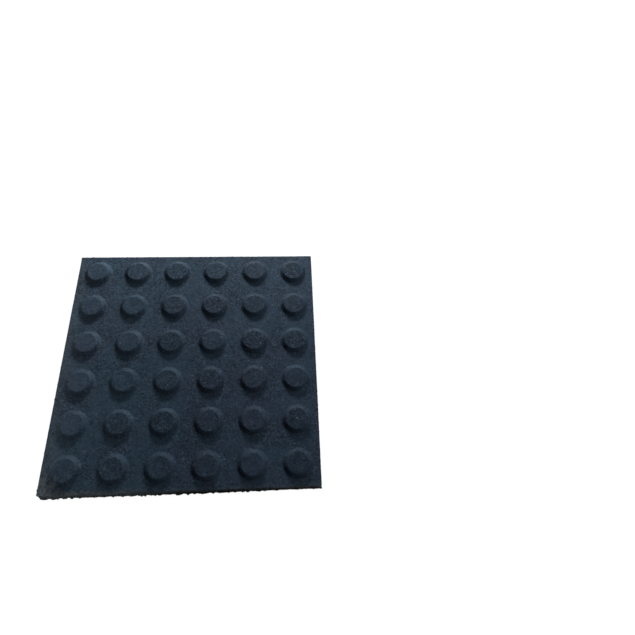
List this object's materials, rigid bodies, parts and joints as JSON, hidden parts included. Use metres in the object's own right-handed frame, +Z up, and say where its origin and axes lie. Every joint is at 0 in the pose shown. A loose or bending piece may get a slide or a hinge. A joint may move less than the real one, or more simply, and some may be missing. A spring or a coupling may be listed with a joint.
{
  "type": "tactile paving slab",
  "caption": "Square crumb-rubber paving slab with rows of flat-topped truncated domes that warn feet and canes of a hazard ahead.",
  "frame": {"origin": "centre of the bed face, the flat underside that the slab lies on", "axes": "+Z up through the slab's thickness, towards the domes; +X and +Y along two sides of the square"},
  "size_m": [0.3, 0.3, 0.019],
  "materials": {
    "crumb_rubber": "matt pressed rubber crumb, blue-black, with a soft sheen and a fine grain of crumbs"
  },
  "bodies": {
    "root": {"blister_slab": "crumb_rubber"}
  },
  "joints": []
}
